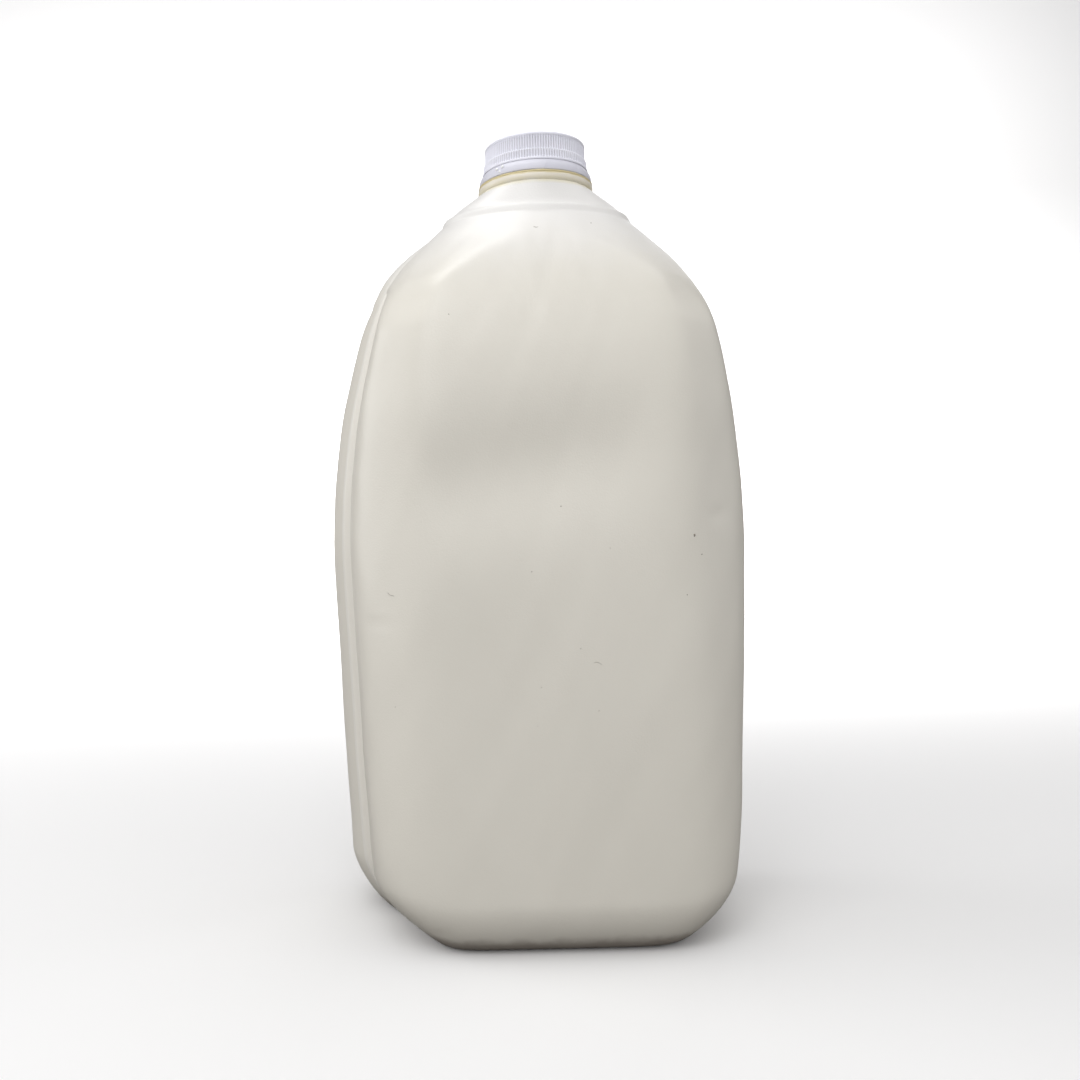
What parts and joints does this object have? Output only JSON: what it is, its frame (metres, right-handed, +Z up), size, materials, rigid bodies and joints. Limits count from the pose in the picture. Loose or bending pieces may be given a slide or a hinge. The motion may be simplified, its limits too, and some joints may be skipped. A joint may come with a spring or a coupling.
{
  "type": "jug of cooking cream",
  "caption": "Shut tall plastic jug of cooking cream with sloping shoulders, side parting ridges, a ribbed screw cap and a tamper band.",
  "frame": {"origin": "middle of the foot, on the surface the jug stands on, under the neck's axis", "axes": "+Z up along the neck, -Y towards the front panel, +X to the right seen from the front"},
  "size_m": [0.1746, 0.1096, 0.3143],
  "materials": {
    "milky_plastic": "milky translucent moulded plastic, cream showing through",
    "cap_plastic": "cool white satin plastic",
    "band_plastic": "cool white satin plastic"
  },
  "bodies": {
    "root": {"jug_body": "milky_plastic", "screw_cap": "cap_plastic", "tamper_band": "band_plastic"}
  },
  "joints": []
}
